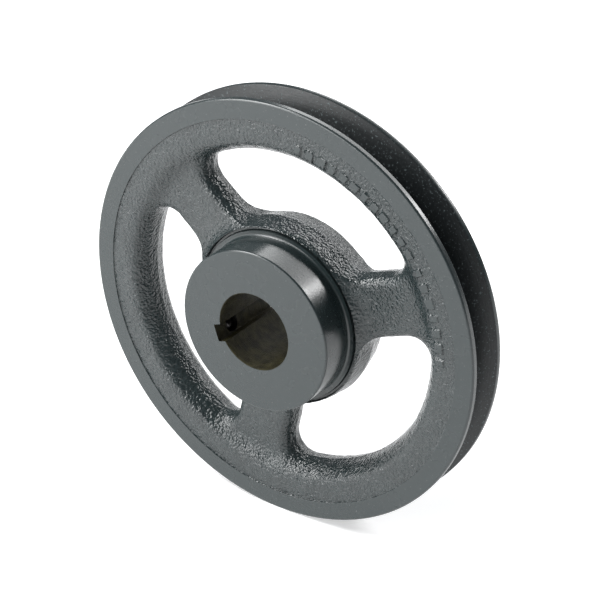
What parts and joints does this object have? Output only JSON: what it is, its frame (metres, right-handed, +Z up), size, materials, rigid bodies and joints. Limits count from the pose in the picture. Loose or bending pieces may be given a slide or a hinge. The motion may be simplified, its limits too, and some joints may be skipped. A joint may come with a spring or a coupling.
{
  "type": "v belt pulley",
  "caption": "Spoked cast-iron pulley with one V-belt groove, a projecting keyed hub and a set screw over its keyway.",
  "frame": {"origin": "on the bore's axis, halfway along the hub, which is the centre of the object's box", "axes": "+Y along the bore's axis from the hub's projecting front face towards its rear face; +Z up, with the pulley standing on its rim; +X to the right seen from the front"},
  "size_m": [0.1968, 0.0382, 0.1968],
  "materials": {
    "painted_casting": "dark grey-green semi-gloss enamel over cast iron; bore and keyway bare, oiled",
    "set_screw_steel": "black oxide"
  },
  "bodies": {
    "pulley": {"pulley_casting": "painted_casting"},
    "set_screw": {"keyway_set_screw": "set_screw_steel"}
  },
  "joints": [
    {"name": "set_screw_travel", "type": "slide", "parent": "pulley", "child": "set_screw", "axis": [-0.9444, 0, -0.3289], "range_m": [-0.0056, 0.009]}
  ]
}
